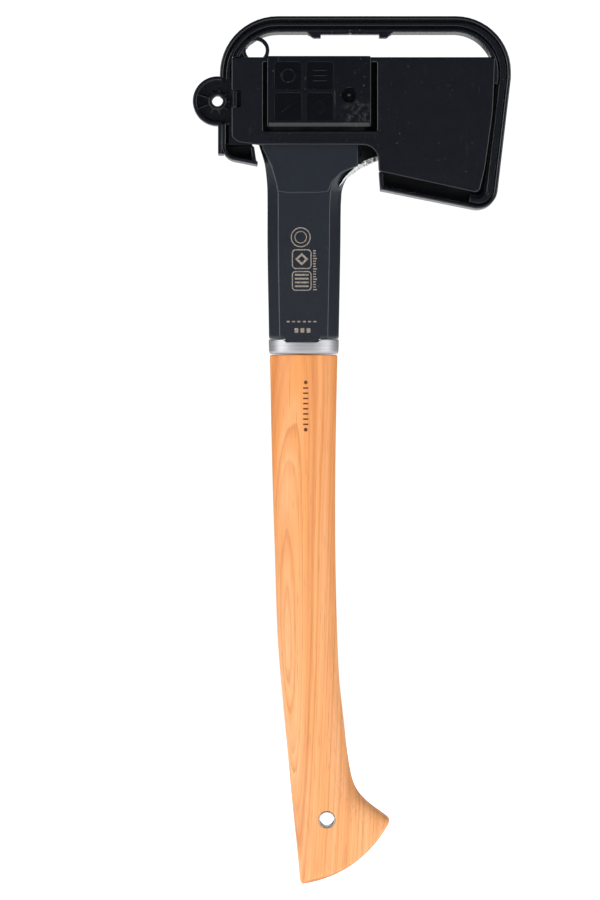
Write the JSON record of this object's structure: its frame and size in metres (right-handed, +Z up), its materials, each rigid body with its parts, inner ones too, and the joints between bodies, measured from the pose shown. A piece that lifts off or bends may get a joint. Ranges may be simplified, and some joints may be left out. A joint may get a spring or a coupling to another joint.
{
  "type": "carving hatchet with sheath",
  "caption": "Carving hatchet with a curved wood grip, steel ferrule and composite upper shaft, its head held in a moulded sheath with a carry loop, hub and sprung tongue.",
  "frame": {"origin": "foot of the handle's butt, on the vertical line through the middle of the ferrule", "axes": "+Z up the handle to the head, +X towards the cutting edge, -Y towards the sheath's front plate"},
  "size_m": [0.1842, 0.0357, 0.5041],
  "materials": {
    "forged_steel": "ground and lightly coated",
    "composite": "satin, fine moulded grain",
    "rod_steel": "plain bar",
    "ferrule_steel": "brushed round the collar",
    "hickory": "oiled, long straight grain",
    "tube_steel": "plain tube",
    "sheath_plastic": "moulded satin black",
    "tongue_plastic": "semi-gloss black"
  },
  "bodies": {
    "hatchet": {"axe_head": "forged_steel", "composite_shaft": "composite", "joining_rod": "rod_steel", "ferrule": "ferrule_steel", "wood_handle": "hickory", "lanyard_tube": "tube_steel"},
    "sheath": {"front_plate": "sheath_plastic", "carry_loop": "sheath_plastic", "hub_disc": "sheath_plastic", "tail_guard": "sheath_plastic", "edge_guard": "sheath_plastic"},
    "tongue": {"spring_tongue": "tongue_plastic"},
    "latch": {"snap_latch": "sheath_plastic"}
  },
  "joints": [
    {"name": "sheath_swing", "type": "hinge", "parent": "hatchet", "child": "sheath", "pos_m": [0.108, 0, 0.44], "axis": [0, 0, 1], "range_deg": [0, 25]},
    {"name": "tongue_press", "type": "hinge", "parent": "sheath", "child": "tongue", "pos_m": [0.0088, -0.0193, 0.4795], "axis": [1, 0, 0], "range_deg": [0, 3], "stiffness_Nm_per_rad": 1.5},
    {"name": "latch_flex", "type": "hinge", "parent": "sheath", "child": "latch", "pos_m": [-0.04, -0.006, 0.456], "axis": [0, 0, 1], "range_deg": [0, 6], "stiffness_Nm_per_rad": 1.2}
  ]
}
